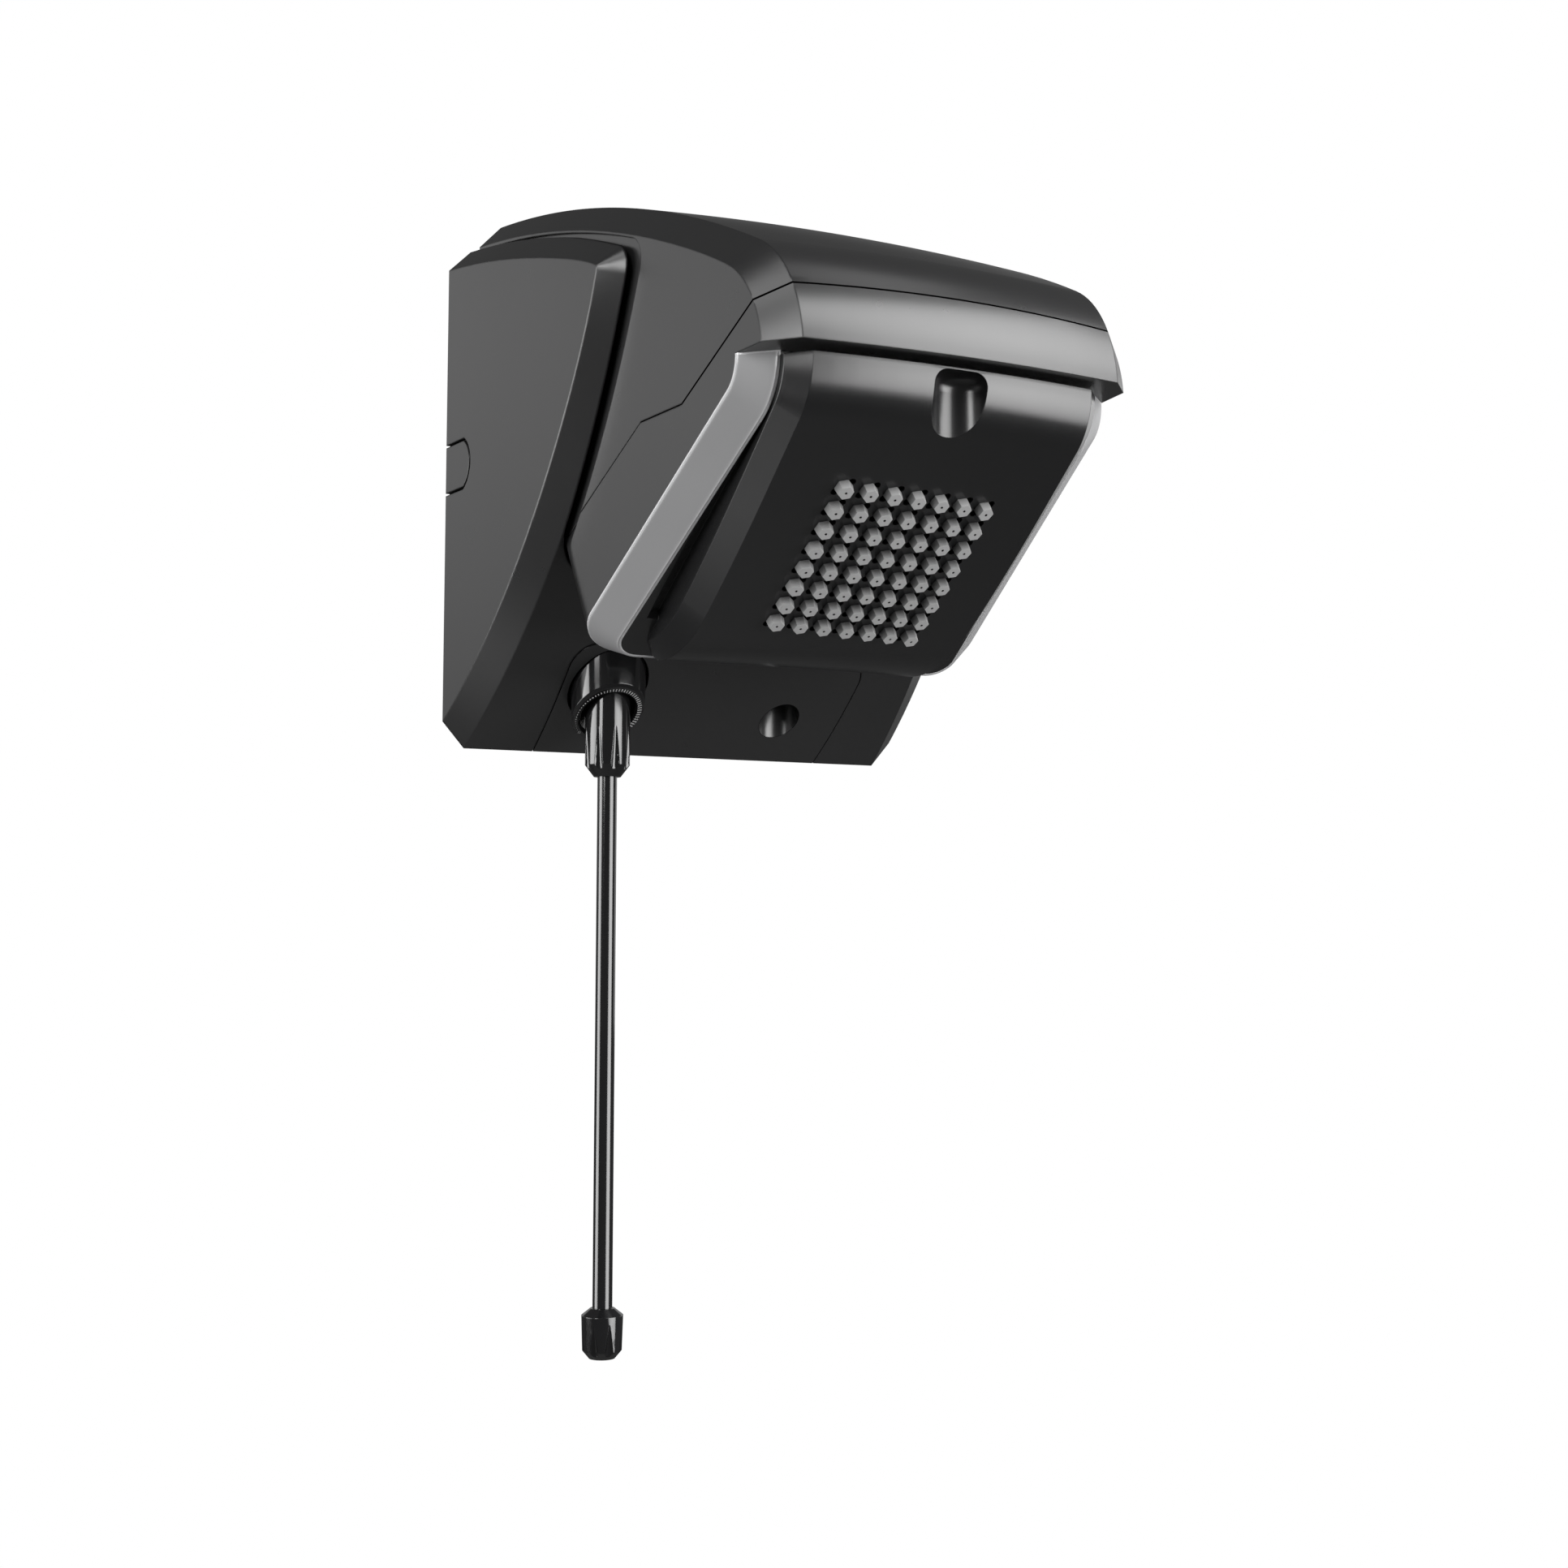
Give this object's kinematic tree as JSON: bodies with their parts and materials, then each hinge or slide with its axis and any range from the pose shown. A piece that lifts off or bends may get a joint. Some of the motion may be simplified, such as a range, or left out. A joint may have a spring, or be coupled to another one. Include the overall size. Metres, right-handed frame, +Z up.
{
  "type": "wall-mounted instant water heater shower",
  "caption": "Compact electric shower head for a wall: a hooded head with a sloping nozzle plate in a silver rim, held between two base wings, with a hanging fluted temperature rod.",
  "frame": {"origin": "centre of the water inlet on the wall plane", "axes": "+Y into the wall, the front looks along -Y, +Z up, X across the two equal halves of the shell"},
  "size_m": [0.184, 0.2143, 0.4107],
  "materials": {
    "shell": "satin dark grey moulded plastic",
    "silver_rim": "satin silver paint on plastic",
    "plate": "satin black plastic",
    "nozzle_rubber": "light grey silicone",
    "gloss_black": "polished black plastic",
    "screw_steel": "plated steel",
    "inner_white": "unpainted heat-resistant plastic",
    "ceramic": "fired ceramic",
    "brass": "turned brass",
    "seal_rubber": "black rubber",
    "board_green": "solder mask",
    "sink_aluminium": "extruded aluminium"
  },
  "bodies": {
    "shower": {"wall_base": "shell", "lower_panel": "shell", "upper_cover": "shell", "lower_body": "shell", "trim_frame": "silver_rim", "spray_plate": "plate", "nozzles": "nozzle_rubber", "dial_collar": "gloss_black", "panel_screw": "screw_steel", "pot_bracket": "inner_white", "potentiometer": "sink_aluminium", "bracket_screws": "screw_steel", "inlet_fitting": "brass", "inlet_seal": "seal_rubber", "inlet_filter": "inner_white", "valve_body": "inner_white", "flow_diaphragm": "seal_rubber", "switch_housing": "inner_white", "fixed_contacts": "brass", "return_spring": "screw_steel", "valve_screws": "screw_steel", "feed_pipe": "inner_white", "spray_tray": "inner_white", "heating_chamber": "inner_white", "chamber_gasket": "seal_rubber", "chamber_lid": "inner_white", "lid_screws": "screw_steel", "element_terminals": "brass", "coil_carrier": "ceramic", "heating_coil": "screw_steel", "circuit_board": "board_green", "board_screws": "screw_steel", "heat_sink": "sink_aluminium", "triac": "gloss_black", "terminal_block": "inner_white", "terminal_screws": "screw_steel"},
    "rod": {"upper_grip": "gloss_black", "control_rod": "gloss_black", "lower_knob": "gloss_black", "pot_shaft": "sink_aluminium"},
    "plunger": {"switch_plunger": "inner_white", "contact_bridge": "brass"}
  },
  "joints": [
    {"name": "control_rod_turn", "type": "hinge", "parent": "shower", "child": "rod", "pos_m": [-0.0403, -0.0306, -0.1], "axis": [0, 0, 1], "range_deg": [0, 270]},
    {"name": "flow_switch_travel", "type": "slide", "parent": "shower", "child": "plunger", "axis": [0, -1, 0], "range_m": [0, 0.003], "stiffness_N_per_m": 400, "deforming": ["return_spring"]}
  ]
}
